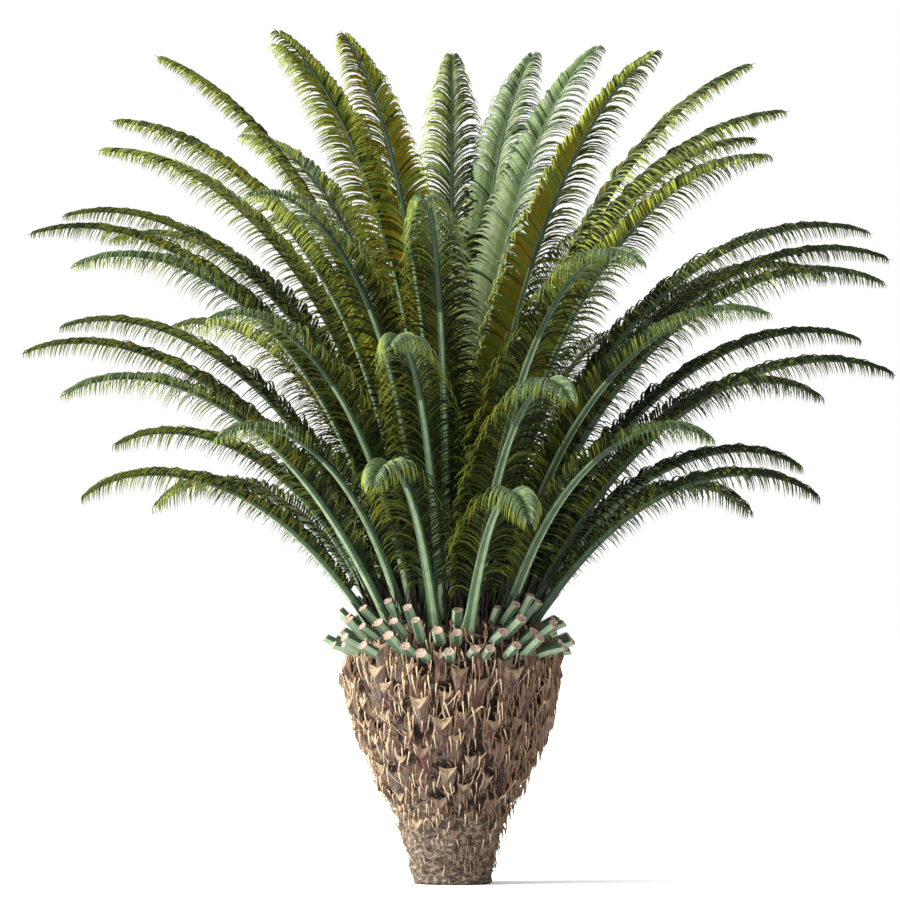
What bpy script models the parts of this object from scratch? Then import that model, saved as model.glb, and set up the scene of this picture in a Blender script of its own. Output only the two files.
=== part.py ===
"""Sago palm: a bulbous trunk of old leaf bases under a full head of arching fronds.

Metres, +Z up. The origin is the middle of the flat cut under the trunk.
-Y faces the viewer. A frond's azimuth is 0 towards the viewer and 90 to the right (+X).
"""

import math
import random
from collections import namedtuple

import bmesh
import bpy
from mathutils import Matrix, Vector
from mathutils.bvhtree import BVHTree

COLLECTION_NAME = "sago_palm"
SEED = 7
GAP = 0.0003

# Trunk: radius and height of the body under its scales, from the growing tip down to the foot
TRUNK_OUTLINE = (
    (0.000, 0.900),
    (0.060, 0.894),
    (0.120, 0.876),
    (0.180, 0.846),
    (0.230, 0.806),
    (0.272, 0.752),
    (0.300, 0.690),
    (0.306, 0.620),
    (0.292, 0.530),
    (0.262, 0.430),
    (0.222, 0.335),
    (0.182, 0.255),
    (0.152, 0.175),
    (0.136, 0.095),
    (0.120, 0.000),
)
TRUNK_SIDES = 24
LEAN_REACH = 0.03

# Old leaf bases: stubs with two horns beside a notch, along one spiral up the trunk
SCALE_LOWEST = 0.150
SCALE_HIGHEST = 0.700
SCALE_PITCH = 0.080
GOLDEN_ANGLE = 137.508
SCALE_FULL_RADIUS = 0.300
SCALE_FOOT_DROP = 0.044
SCALE_HORN_RISE = 0.042
SCALE_HORN_OUT = 0.018
SCALE_HORN_APART = 0.060
SCALE_KEEL_RISE = 0.006
SCALE_KEEL_OUT = 0.027
SCALE_SUNK = 0.030

# Cut leaf stalks: staggered rows round the shoulder; root height and rise of each row
STALK_ROWS = ((0.698, 32.0), (0.742, 44.0), (0.790, 56.0))
STALKS_PER_ROW = 32
STALK_TURN_SPREAD = 4.0
STALK_RISE_SPREAD = 9.0
STALK_HEIGHT_SPREAD = 0.012
STALK_LENGTH = 0.150
STALK_SHORTEST = 0.70
STALK_SUNK = 0.045
STALK_RADIUS = 0.0195
STALK_TAPER = 0.90
STALK_SIDES = 5
STALK_CLEARANCE = 0.044
STALK_SHARES_TESTED = (0.6, 1.0)
RIB_FOOT_STEP = 0.02
RIB_FOOT_STEPS = 10

# Fronds: each tier's foot, rise and bend in degrees, rib length and width, leaflet pairs,
# and the azimuth and lift of each of its fronds in degrees
Tier = namedtuple("Tier", "name foot_radius foot_height rise bend length width pairs fronds")
TIERS = (
    Tier("skirt", 0.284, 0.836, 53.0, 75.0, 0.985, 0.034, 13, (
        (-12, 2), (11, -4), (48, 10), (75, 0), (100, 5), (127, -3),
        (153, 2), (180, -1), (-153, 3), (-127, -2), (-98, 9), (-78, 0), (-42, 10))),
    Tier("lower", 0.240, 0.870, 64.5, 70.0, 1.375, 0.033, 18, (
        (-8, 0), (14, -7), (50, 5), (80, -3), (99, 2), (124, -6),
        (151, 2), (176, -2), (-160, 3), (-134, 4), (-103, 4), (-85, 0), (-55, -6), (-35, 4))),
    Tier("middle", 0.190, 0.892, 77.0, 77.0, 1.66, 0.032, 21, (
        (-4, 3), (23, -5), (63, -7), (78, 0), (98, -3), (123, -5),
        (152, 2), (179, -1), (-152, 3), (-124, 0), (-101, 3), (-83, 0), (-53, -5), (-30, 4))),
    Tier("upper", 0.144, 0.905, 81.5, 64.0, 1.76, 0.030, 22, (
        (-71, 2), (-110, -1), (-142, 2), (171, -2), (121, 1), (84, 4), (49, -4))),
    Tier("top", 0.100, 0.925, 81.0, 42.0, 1.79, 0.025, 23, (
        (-23, 3), (-41, 4), (-91, 1), (-134, 5), (180, 4), (161, 4), (143, 5), (98, 0), (41, 0))),
)
FOOT_INWARD_PER_LIFT = 0.004
FOOT_UPWARD_PER_LIFT = 0.003
RIB_BEND_POWER = 1.5
RIB_TIP_DROOP = 16.0
RIB_DROOP_POWER = 8
PETIOLE_SHARE = 0.05
PETIOLE_STEPS = 1
RIB_TIP_WIDTH = 0.007
RIB_TAPER_POWER = 1.1
RIB_TIP_SHARE = 0.02
RIB_DEPTH = 0.85
SIDE_FACE_NORMAL = 0.3
SOCKET_LENGTH = 0.090

# Leaflets: length, the share of it at the two ends of a frond, angle from the rib, rise above it,
# and how far a whole leaflet sags towards the ground and curls towards the rib's underside
LEAFLET_LENGTH = 0.172
LEAFLET_FIRST = 0.50
LEAFLET_LAST = 0.25
LEAFLET_GROWN_AT = 0.3
LEAFLET_FADE_POWER = 6
LEAFLET_SPREAD_FIRST = 64.0
LEAFLET_SPREAD_LAST = 42.0
LEAFLET_RISE = 44.0
LEAFLET_SAG = 1.5
LEAFLET_CURL = 1.8
LEAFLET_STEPS = 6
LEAFLET_LENGTHS_TRIED = (1.0, 0.8, 0.6, 0.4, 0.25)
LEAFLET_MARGIN = 0.003

TRUNK_COLOUR = (0.46, 0.35, 0.24, 1.0)
FROND_COLOUR = (0.075, 0.115, 0.030, 1.0)
LATERAL = Vector((0.0, 1.0, 0.0))
DOWN = Vector((0.0, 0.0, -1.0))

Frond = namedtuple("Frond", "name azimuth foot_radius foot_height rise bend length width pairs")


def clear_scene():
    """Remove every object of the open file."""
    for item in list(bpy.data.objects):
        bpy.data.objects.remove(item, do_unlink=True)


def make_collection(name):
    """A collection linked to the scene."""
    group = bpy.data.collections.new(name)
    bpy.context.scene.collection.children.link(group)
    return group


def make_material(name, colour, roughness):
    """A plain Principled material."""
    material = bpy.data.materials.new(name)
    material.use_nodes = True
    shader = material.node_tree.nodes["Principled BSDF"]
    shader.inputs["Base Color"].default_value = colour
    shader.inputs["Roughness"].default_value = roughness
    shader.inputs["Metallic"].default_value = 0.0
    return material


def object_from_bmesh(name, bm, group, material):
    """A new object that holds the finished bmesh."""
    mesh = bpy.data.meshes.new(name)
    bm.to_mesh(mesh)
    bm.free()
    item = bpy.data.objects.new(name, mesh)
    item.data.materials.append(material)
    group.objects.link(item)
    return item


def azimuth_turn(azimuth):
    """Rotation that carries local +X to the given azimuth."""
    return Matrix.Rotation(math.radians(azimuth - 90.0), 4, "Z")


def trunk_radius(height):
    """Radius of the trunk's body at a height."""
    for (upper, top), (lower, bottom) in zip(TRUNK_OUTLINE, TRUNK_OUTLINE[1:]):
        if bottom <= height <= top:
            return lower + (upper - lower) * (height - bottom) / (top - bottom)
    return 0.0


def trunk_lean(height):
    """Angle of the trunk's side from the vertical at a height, outward going up."""
    rise = 2.0 * LEAN_REACH
    widening = trunk_radius(height + LEAN_REACH) - trunk_radius(height - LEAN_REACH)
    return math.atan2(widening, rise)


def list_fronds():
    """Every frond of every tier."""
    fronds = []
    for tier in TIERS:
        for number, (azimuth, lift) in enumerate(tier.fronds, 1):
            fronds.append(Frond(
                f"frond_{tier.name}_{number:02d}", azimuth,
                tier.foot_radius - lift * FOOT_INWARD_PER_LIFT,
                tier.foot_height + lift * FOOT_UPWARD_PER_LIFT,
                tier.rise + lift, tier.bend, tier.length, tier.width, tier.pairs))
    return fronds


def rib_slope(frond, share):
    """Slope of a rib in radians at a share of its length."""
    fallen = frond.bend * share ** RIB_BEND_POWER + RIB_TIP_DROOP * share ** RIB_DROOP_POWER
    return math.radians(frond.rise - fallen)


def rib_stations(frond, shares):
    """Centre and slope of a rib, in its own upright plane, at rising shares of its length."""
    stations = []
    out = frond.foot_radius
    height = frond.foot_height
    last = 0.0
    for share in shares:
        middle = rib_slope(frond, (share + last) / 2.0)
        out += math.cos(middle) * (share - last) * frond.length
        height += math.sin(middle) * (share - last) * frond.length
        stations.append((Vector((out, 0.0, height)), rib_slope(frond, share)))
        last = share
    return stations


def rib_ring(centre, slope, width):
    """Three corners of a rib's section: flat above, with a keel below."""
    above = Vector((-math.sin(slope), 0.0, math.cos(slope)))
    return (
        centre + LATERAL * width / 2.0 + above * width * RIB_DEPTH / 3.0,
        centre - LATERAL * width / 2.0 + above * width * RIB_DEPTH / 3.0,
        centre - above * width * RIB_DEPTH * 2.0 / 3.0,
    )


def loft_rings(rings):
    """A closed bar through three-cornered rings, and the number of the ring of each vertex."""
    bm = bmesh.new()
    start = bmesh.ops.create_circle(bm, cap_ends=True, radius=1.0, segments=len(rings[0]))
    for vertex, place in zip(start["verts"], rings[0]):
        vertex.co = place
    end = bm.faces[:][0]
    ring_of = {vertex: 0 for vertex in end.verts}
    corner_of = {vertex: number for number, vertex in enumerate(start["verts"])}
    for number, ring in enumerate(rings[1:], 1):
        corners = [corner_of[vertex] for vertex in end.verts]
        moved = bmesh.ops.extrude_face_region(bm, geom=[end])["geom"]
        if number > 1:
            bmesh.ops.delete(bm, geom=[end], context="FACES_ONLY")
        end = next(part for part in moved if isinstance(part, bmesh.types.BMFace))
        for vertex, corner in zip(end.verts, corners):
            vertex.co = ring[corner]
            ring_of[vertex] = number
            corner_of[vertex] = corner
    bmesh.ops.recalc_face_normals(bm, faces=bm.faces[:])
    return bm, ring_of


def frond_shares(frond):
    """Shares of the length at the rib's rings: bare stalk, leaflet pairs, and the last point."""
    shares = [PETIOLE_SHARE * step / PETIOLE_STEPS for step in range(PETIOLE_STEPS)]
    blade = 1.0 - PETIOLE_SHARE
    shares += [PETIOLE_SHARE + blade * step / frond.pairs for step in range(frond.pairs + 1)]
    shares.append(1.0 + RIB_TIP_SHARE)
    return shares


def leaflet_reach(along):
    """Length of a leaflet at a share of the blade, and its angle from the rib."""
    grown = min(1.0, along / LEAFLET_GROWN_AT)
    grown = grown * (2.0 - grown)
    length = LEAFLET_FIRST + (1.0 - LEAFLET_FIRST) * grown
    length *= 1.0 - (1.0 - LEAFLET_LAST) * along ** LEAFLET_FADE_POWER
    spread = LEAFLET_SPREAD_FIRST + (LEAFLET_SPREAD_LAST - LEAFLET_SPREAD_FIRST) * along
    return LEAFLET_LENGTH * length, math.radians(spread)


def leaflet_tip(root, slope, side, along, share):
    """Tip of a leaflet that leaves the rib forward, outward and upward, and arches over."""
    length, spread = leaflet_reach(along)
    rise = math.radians(LEAFLET_RISE)
    forward = Vector((math.cos(slope), 0.0, math.sin(slope)))
    above = Vector((-math.sin(slope), 0.0, math.cos(slope)))
    outward = LATERAL * side * math.cos(rise) + above * math.sin(rise)
    way = forward * math.cos(spread) + outward * math.sin(spread)
    load = (DOWN * LEAFLET_SAG - above * LEAFLET_CURL) * share / LEAFLET_STEPS
    tip = root.copy()
    for _ in range(LEAFLET_STEPS):
        tip += way * length * share / LEAFLET_STEPS
        way = (way + load - way * way.dot(load)).normalized()
    return tip


def pyramid_tree(corners, tip, turn):
    """Search tree of a leaflet's solid, grown by the margin that it keeps to its neighbours."""
    middle = sum(corners, Vector()) / len(corners)
    grown = [corner + (corner - middle).normalized() * LEAFLET_MARGIN for corner in corners]
    grown.append(tip + (tip - middle).normalized() * LEAFLET_MARGIN)
    faces = [(0, 1, 4), (1, 2, 4), (2, 3, 4), (3, 0, 4)]
    return BVHTree.FromPolygons([turn @ point for point in grown], faces)


def make_rib(frond):
    """A frond's bare rib in its own plane, with its leaflet faces listed by segment."""
    stations = rib_stations(frond, frond_shares(frond))
    rings = []
    for (centre, slope), share in zip(stations, frond_shares(frond)):
        taper = min(1.0, share) ** RIB_TAPER_POWER
        width = frond.width + (RIB_TIP_WIDTH - frond.width) * taper
        rings.append(rib_ring(centre, slope, width))
    bm, ring_of = loft_rings(rings)
    side_faces = []
    for face in bm.faces:
        segment = min(ring_of[vertex] for vertex in face.verts)
        bladed = PETIOLE_STEPS <= segment < PETIOLE_STEPS + frond.pairs
        if bladed and len(face.verts) == 4 and abs(face.normal.y) > SIDE_FACE_NORMAL:
            side_faces.append((segment, face))
    last = [vertex for vertex, number in ring_of.items() if number == len(rings) - 1]
    bmesh.ops.pointmerge(bm, verts=last, merge_co=stations[-1][0])
    side_faces.sort(key=lambda entry: (entry[0], entry[1].normal.y))
    return bm, side_faces, stations


def world_triangles(bm, turn):
    """Turned vertex places and the faces of a bmesh."""
    bm.verts.index_update()
    places = [turn @ vertex.co for vertex in bm.verts]
    faces = [[vertex.index for vertex in face.verts] for face in bm.faces]
    return places, faces


def join_trees(parts):
    """One search tree from several lists of places and faces."""
    places = []
    faces = []
    for part_places, part_faces in parts:
        start = len(places)
        places += part_places
        faces += [[start + number for number in face] for face in part_faces]
    return BVHTree.FromPolygons(places, faces)


def add_leaflets(bm, side_faces, stations, frond, others):
    """Pull each side face of the rib out to a leaflet, as far as its neighbours leave room."""
    turn = azimuth_turn(frond.azimuth)
    for segment, face in side_faces:
        along = (segment - PETIOLE_STEPS + 0.5) / frond.pairs
        slope = (stations[segment][1] + stations[segment + 1][1]) / 2.0
        side = math.copysign(1.0, face.normal.y)
        root = face.calc_center_median()
        corners = [vertex.co.copy() for vertex in face.verts]
        for share in LEAFLET_LENGTHS_TRIED:
            tip = leaflet_tip(root, slope, side, along, share)
            if not others.overlap(pyramid_tree(corners, tip, turn)):
                pulled = bmesh.ops.extrude_discrete_faces(bm, faces=[face])["faces"][0]
                bmesh.ops.pointmerge(bm, verts=list(pulled.verts), merge_co=tip)
                break


def make_turned_body(group, material):
    """The trunk's body, turned from its outline."""
    bm = bmesh.new()
    points = [bm.verts.new((radius, 0.0, height)) for radius, height in TRUNK_OUTLINE]
    points.append(bm.verts.new((0.0, 0.0, 0.0)))
    for upper, lower in zip(points, points[1:]):
        bm.edges.new((upper, lower))
    body = object_from_bmesh("trunk", bm, group, material)
    screw = body.modifiers.new("turn", "SCREW")
    screw.steps = TRUNK_SIDES
    screw.render_steps = TRUNK_SIDES
    screw.use_merge_vertices = True
    screw.merge_threshold = 0.0001
    return body


def scale_places():
    """Height and azimuth of each old leaf base, each with the same share of the surface."""
    places = []
    height = SCALE_LOWEST
    azimuth = 0.0
    while height < SCALE_HIGHEST:
        places.append((height, azimuth))
        height += SCALE_PITCH ** 2 / (2.0 * math.pi * trunk_radius(height))
        azimuth += GOLDEN_ANGLE
    return places


def make_scale(height, azimuth, group, material):
    """One old leaf base: a pyramid on its tip, its four upper corners two horns and a notch."""
    bm = bmesh.new()
    bmesh.ops.create_cone(bm, cap_ends=True, segments=4, radius1=1.0, radius2=0.0, depth=1.0)
    size = math.sqrt(trunk_radius(height) / SCALE_FULL_RADIUS)
    foot = max(bm.verts, key=lambda vertex: vertex.co.z)
    rim = sorted((vertex for vertex in bm.verts if vertex is not foot),
                 key=lambda vertex: math.atan2(vertex.co.y, vertex.co.x))
    foot.co = Vector((0.0, 0.0, -SCALE_FOOT_DROP * size))
    rim[0].co = Vector((SCALE_HORN_OUT, -SCALE_HORN_APART / 2.0, SCALE_HORN_RISE)) * size
    rim[1].co = Vector((SCALE_KEEL_OUT, 0.0, SCALE_KEEL_RISE)) * size
    rim[2].co = Vector((SCALE_HORN_OUT, SCALE_HORN_APART / 2.0, SCALE_HORN_RISE)) * size
    rim[3].co = Vector((-SCALE_SUNK, 0.0, SCALE_KEEL_RISE * size))
    bmesh.ops.connect_verts(bm, verts=[rim[1], rim[3]])
    bmesh.ops.recalc_face_normals(bm, faces=bm.faces[:])
    place = Matrix.Translation((trunk_radius(height), 0.0, height))
    turn = azimuth_turn(azimuth) @ place @ Matrix.Rotation(trunk_lean(height), 4, "Y")
    bmesh.ops.transform(bm, matrix=turn, verts=bm.verts[:])
    return object_from_bmesh("scale", bm, group, material)


def make_scales(group, material):
    """The whole spiral of old leaf bases."""
    for height, azimuth in scale_places():
        make_scale(height, azimuth, group, material)


def clear_of_ribs(place, fronds):
    """Whether a place keeps its distance from the lower part of every rib."""
    for frond in fronds:
        turn = azimuth_turn(frond.azimuth)
        shares = [step * RIB_FOOT_STEP for step in range(RIB_FOOT_STEPS)]
        for centre, _ in rib_stations(frond, shares):
            if (turn @ centre - place).length < STALK_CLEARANCE:
                return False
    return True


def make_stalks(fronds, group, material, rng):
    """Cut leaf stalks round the shoulder, left out where a frond's rib passes."""
    for row, (height, rise) in enumerate(STALK_ROWS):
        for column in range(STALKS_PER_ROW):
            azimuth = (column + row / len(STALK_ROWS)) * 360.0 / STALKS_PER_ROW
            azimuth += rng.uniform(-STALK_TURN_SPREAD, STALK_TURN_SPREAD)
            lift = math.radians(rise + rng.uniform(-STALK_RISE_SPREAD, STALK_RISE_SPREAD))
            length = STALK_LENGTH * rng.uniform(STALK_SHORTEST, 1.0)
            level = height + rng.uniform(-STALK_HEIGHT_SPREAD, STALK_HEIGHT_SPREAD)
            turn = azimuth_turn(azimuth)
            way = Vector((math.cos(lift), 0.0, math.sin(lift)))
            root = Vector((trunk_radius(level), 0.0, level)) - way * STALK_SUNK
            if not all(clear_of_ribs(turn @ (root + way * length * share), fronds)
                       for share in STALK_SHARES_TESTED):
                continue
            bm = bmesh.new()
            bmesh.ops.create_cone(
                bm, cap_ends=True, segments=STALK_SIDES, radius1=STALK_RADIUS,
                radius2=STALK_RADIUS * STALK_TAPER, depth=length)
            place = turn @ Matrix.Translation(root + way * length / 2.0)
            tilt = Matrix.Rotation(math.pi / 2.0 - lift, 4, "Y")
            bmesh.ops.transform(bm, matrix=place @ tilt, verts=bm.verts[:])
            object_from_bmesh("stalk", bm, group, material)


def make_sockets(fronds, group, material):
    """The living leaf bases that the fronds' ribs grow on from."""
    for frond in fronds:
        slope = rib_slope(frond, 0.0)
        forward = Vector((math.cos(slope), 0.0, math.sin(slope)))
        foot = Vector((frond.foot_radius, 0.0, frond.foot_height))
        ends = (foot - forward * SOCKET_LENGTH, foot - forward * GAP)
        bm, _ = loft_rings([rib_ring(end, slope, frond.width) for end in ends])
        bmesh.ops.transform(bm, matrix=azimuth_turn(frond.azimuth), verts=bm.verts[:])
        object_from_bmesh("socket", bm, group, material)


def evaluated_mesh(item):
    """An object's mesh with its modifiers applied."""
    bpy.context.view_layer.update()
    graph = bpy.context.evaluated_depsgraph_get()
    return bpy.data.meshes.new_from_object(item.evaluated_get(graph))


def fuse(body, extras):
    """Join every object of a collection to the body, and remove the collection."""
    union = body.modifiers.new("union", "BOOLEAN")
    union.operation = "UNION"
    union.operand_type = "COLLECTION"
    union.collection = extras
    union.solver = "MANIFOLD"
    mesh = evaluated_mesh(body)
    body.modifiers.clear()
    body.data = mesh
    for item in list(extras.objects):
        bpy.data.objects.remove(item, do_unlink=True)
    bpy.data.collections.remove(extras)


def make_trunk(fronds, group, material, rng):
    """The whole trunk with its scales, cut stalks and living leaf bases."""
    body = make_turned_body(group, material)
    body.data = evaluated_mesh(body)
    body.modifiers.clear()
    extras = make_collection("trunk_extras")
    make_scales(extras, material)
    make_stalks(fronds, extras, material, rng)
    make_sockets(fronds, extras, material)
    fuse(body, extras)
    return body


def make_fronds(fronds, trunk, group, material):
    """Every frond, from the lowest tier up, each clear of the trunk and of the others."""
    trunk_part = (
        [vertex.co.copy() for vertex in trunk.data.vertices],
        [list(face.vertices) for face in trunk.data.polygons])
    ribs = [make_rib(frond) for frond in fronds]
    parts = [world_triangles(bm, azimuth_turn(frond.azimuth))
             for frond, (bm, _, _) in zip(fronds, ribs)]
    for number, (frond, (bm, side_faces, stations)) in enumerate(zip(fronds, ribs)):
        others = join_trees([trunk_part] + parts[:number] + parts[number + 1:])
        add_leaflets(bm, side_faces, stations, frond, others)
        parts[number] = world_triangles(bm, azimuth_turn(frond.azimuth))
        item = object_from_bmesh(frond.name, bm, group, material)
        item.matrix_world = azimuth_turn(frond.azimuth)


def main():
    """Build the palm."""
    clear_scene()
    rng = random.Random(SEED)
    group = make_collection(COLLECTION_NAME)
    fibre = make_material("trunk_fibre", TRUNK_COLOUR, 0.9)
    leaf = make_material("frond_green", FROND_COLOUR, 0.5)
    fronds = list_fronds()
    trunk = make_trunk(fronds, group, fibre, rng)
    make_fronds(fronds, trunk, group, leaf)


main()
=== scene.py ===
"""Looks of a sago palm: feathered fronds over a trunk of old leaf bases, hooks and fibre.

Metres, +Z up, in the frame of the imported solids. The origin is the middle of the trunk's foot.
-Y faces the viewer. An azimuth is 0 towards the viewer and 90 to the right (+X), in degrees.
"""

import math
import random
from collections import namedtuple

import bpy
import numpy as np
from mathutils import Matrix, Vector


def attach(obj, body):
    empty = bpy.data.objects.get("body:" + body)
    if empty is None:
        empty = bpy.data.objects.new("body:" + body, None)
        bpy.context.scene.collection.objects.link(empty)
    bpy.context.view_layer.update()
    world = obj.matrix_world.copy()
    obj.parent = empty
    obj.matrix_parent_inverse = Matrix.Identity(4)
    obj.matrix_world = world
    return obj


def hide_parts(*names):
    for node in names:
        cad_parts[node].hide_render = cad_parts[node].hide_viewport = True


SEED = 7
DOWN = np.array((0.0, 0.0, -1.0))
LATERAL = np.array((0.0, 1.0, 0.0))
GOLDEN_ANGLE = 137.508

# Trunk: radius and height of the body under its scales, from the growing tip down to the foot
TRUNK_OUTLINE = (
    (0.000, 0.900), (0.060, 0.894), (0.120, 0.876), (0.180, 0.846), (0.230, 0.806),
    (0.272, 0.752), (0.300, 0.690), (0.306, 0.620), (0.292, 0.530), (0.262, 0.430),
    (0.222, 0.335), (0.182, 0.255), (0.149, 0.175), (0.131, 0.095), (0.114, 0.000))
SHOULDER_ROWS = 7
LEAN_REACH = 0.03

# Relief of the body: lumps and grain, folds of the sheath near the foot, a mound at each leaf base
BODY_COLUMNS = 280
BODY_ROWS = 170
BODY_HIGHEST = 0.900
LUMP_CELLS = (34, 36)
LUMP_RELIEF = 0.008
GRAIN_CELLS = (120, 100)
GRAIN_RELIEF = 0.0030
FOLD_CELLS = (7, 62)
FOLD_RELIEF = 0.006
SHEATH_TOP = 0.26
SHEATH_FADE = 0.10
MOUND_RELIEF = 0.009
MOUND_WIDTH = 0.020
MOUND_HEIGHT = 0.030
MOUND_DROP = 0.020

# Where each look of the body lies: by height near the foot and shoulder, else by relief
ZONE_CELLS = (40, 40)
ZONE_RELIEF = 0.003
SHEATH_LOOK_TOP = 0.24
# The shoulder under the crown and the deepest relief take the near-black crevice look: painted
# shade
SHOULDER_SHADE_FROM = 0.775
CREVICE_BELOW = -0.009
INNER_BELOW = -0.004

# Old leaf bases: stubs with two horns beside a notch, along one spiral up the trunk
SCALE_LOWEST = 0.150
SCALE_HIGHEST = 0.700
SCALE_PITCH = 0.080
SCALE_FULL_RADIUS = 0.300
SCALE_SIZES = (0.68, 1.15)
SCALE_HALF = 7
SCALE_RINGS = (0.0, 0.16, 0.34, 0.54, 0.76, 1.0)
SCALE_FOOT_DROP = 0.072
SCALE_FOOT_WIDTH = 0.45
SCALE_HORN_RISE = 0.042
SCALE_HORN_OUT = 0.022
SCALE_HORN_APART = 0.060
SCALE_HORN_POWER = 1.3
SCALE_KEEL_RISE = 0.004
SCALE_KEEL_DEPTH = 0.0078
SCALE_LEAST_DEPTH = 0.004
SCALE_BACK_RISE = 0.030
SCALE_ROUGH = 0.0014
SCALE_FOOT_SEGMENTS = 2
SCALE_FOOT_BROWN = 0.6

# Cut leaf stalks: staggered rows round the shoulder; root height and rise of each row
STALK_ROWS = ((0.698, 32.0), (0.742, 44.0), (0.790, 56.0))
STALKS_PER_ROW = 32
STALK_TURN_SPREAD = 4.0
STALK_RISE_SPREAD = 9.0
STALK_HEIGHT_SPREAD = 0.012
STALK_LENGTH = 0.150
STALK_SHORTEST = 0.70
STALK_SUNK = 0.045
STALK_RADIUS = 0.0195
STALK_SIDES = 12
STALK_STATIONS = np.array((0.0, 0.3, 0.6, 0.85, 0.97, 1.0, 1.0, 1.0))
STALK_WIDTHS = np.array((1.0, 0.98, 0.95, 0.92, 0.91, 0.88, 0.60, 0.25))
STALK_DISH = np.array((0.0, 0.0, 0.0, 0.0, 0.0, 0.0, -0.0025, -0.0035))
STALK_CUT_FROM = 4
STALK_CLEARANCE = 0.044
STALK_SHARES_TESTED = (0.6, 1.0)
RIB_FOOT_STEP = 0.02
RIB_FOOT_STEPS = 10

# Fronds: each tier's foot, rise and bend, rib length and width, and the azimuth and lift of each
# of its fronds
Tier = namedtuple("Tier", "name foot_radius foot_height rise bend length width fronds")
TIERS = (
    Tier("skirt", 0.284, 0.836, 53.0, 75.0, 0.985, 0.034, (
        (-12, 2), (11, -4), (48, 10), (75, 0), (100, 5), (127, -3),
        (153, 2), (180, -1), (-153, 3), (-127, -2), (-98, 9), (-78, 0), (-42, 10))),
    Tier("lower", 0.240, 0.870, 64.5, 70.0, 1.375, 0.033, (
        (-8, 0), (14, -7), (50, 5), (80, -3), (99, 2), (124, -6),
        (151, 2), (176, -2), (-160, 3), (-134, 4), (-103, 4), (-85, 0), (-55, -6), (-35, 4))),
    Tier("middle", 0.190, 0.892, 77.0, 77.0, 1.66, 0.032, (
        (-4, 3), (23, -5), (63, -7), (78, 0), (98, -3), (123, -5),
        (152, 2), (179, -1), (-152, 3), (-124, 0), (-101, 3), (-83, 0), (-53, -5), (-30, 4))),
    Tier("upper", 0.144, 0.905, 81.5, 64.0, 1.76, 0.030, (
        (-71, 2), (-110, -1), (-142, 2), (171, -2), (121, 1), (84, 4), (49, -4))),
    Tier("top", 0.100, 0.925, 81.0, 42.0, 1.79, 0.025, (
        (-23, 3), (-41, 4), (-91, 1), (-134, 5), (180, 4), (161, 4), (143, 5), (98, 0), (41, 0))),
)
Frond = namedtuple("Frond", "name azimuth foot_radius foot_height rise bend length width")
FOOT_INWARD_PER_LIFT = 0.004
FOOT_UPWARD_PER_LIFT = 0.003

# Ribs: bend and taper, ridged section, and the stripes that fade into painted shade on the right
# side and towards the tip
RIB_BEND_POWER = 1.5
RIB_TIP_DROOP = 16.0
RIB_DROOP_POWER = 8
RIB_TIP_WIDTH = 0.007
RIB_TAPER_POWER = 1.1
RIB_TIP_SHARE = 0.02
RIB_FINE_PLACES = 410
RIB_RINGS = 46
RIB_SIDES = 14
RIB_RIDGE = 0.12
RIB_CROWN = 0.30
RIB_KEEL = 0.55
RIB_ROOTED = 0.008
RIB_SHADED_FROM = 0.80
RIB_TIP_SHADE_FROM = 0.55
PETIOLE_SHARE = 0.05
SOCKET_LENGTH = 0.090
SOCKET_STATIONS = np.array((1.25, 0.95, 0.7, 0.45, 0.2, 0.02, -0.06))
SOCKET_WIDTHS = np.array((1.80, 1.55, 1.34, 1.17, 1.06, 1.02, 0.80))

# Leaflets: length, the share of it at the two ends of a frond, angle from the rib, rise above it,
# and how far a whole leaflet sags towards the ground and curls towards the rib's underside
LEAF_LENGTH = 0.172
LEAF_FIRST = 0.50
LEAF_LAST = 0.25
LEAF_GROWN_AT = 0.3
LEAF_FADE_POWER = 6
LEAF_SPREAD_FIRST = 64.0
LEAF_SPREAD_LAST = 42.0
LEAF_RISE = 44.0
LEAF_SAG = 1.5
LEAF_CURL = 1.8
LEAF_STEPS = 6
LEAF_SHORTER_SHARES = (0.8, 0.6, 0.4, 0.25)
LEAF_CLEARANCE = 0.001
CLOUD_PLACES = 90
ROOT_OUT = 0.34
ROOT_UP = 0.10

# Leaflets of each tier: distance from one to the next, and how wide they are at a frond's two ends
LEAF_PITCHES = {
    "skirt": 0.0100, "lower": 0.0100, "middle": 0.0090, "upper": 0.0080, "top": 0.0076}
LEAF_FULLNESS = {
    "skirt": (1.0, 0.60), "lower": (1.0, 0.60), "middle": (1.0, 0.60), "upper": (1.10, 0.95),
    "top": (1.25, 1.10)}
LEAF_WIDTH = 0.0100
LEAF_WIDTHS = (0.75, 1.0, 0.95, 0.80, 0.58, 0.32)
LEAF_THICKNESS = 0.0016
LEAF_FOLD = 0.12
LEAF_TWISTS = (12.0, 38.0)

# Sprays: leaflets that turn together, less so towards a frond's tip and on the sunlit tiers
SPRAY_CALMED = 0.6
SUNLIT_LOOSENESS = 0.5

# Colour, roughness and gloss of each leaf tint, and the darker tint painted as shade on a folded
# leaflet's shaded half
Tint = namedtuple("Tint", "colour roughness gloss shaded")
TINTS = {
    "deep": Tint((19, 26, 9), 0.60, 0.06, "deep"),
    "green": Tint((34, 46, 15), 0.55, 0.08, "deep"),
    "fresh": Tint((78, 90, 30), 0.55, 0.12, "olive"),
    "olive": Tint((54, 59, 14), 0.55, 0.08, "deep"),
    "ochre": Tint((92, 84, 18), 0.55, 0.08, "green"),
    "bright": Tint((118, 126, 48), 0.55, 0.12, "fresh"),
    # silver is leaf green with a painted bluish sheen of light from above
    "silver": Tint((60, 76, 54), 0.50, 0.15, "green"),
    "mint": Tint((84, 100, 62), 0.50, 0.15, "silver"),
    "pale": Tint((124, 134, 108), 0.50, 0.15, "mint"),
}
TINT_NAMES = list(TINTS)
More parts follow.
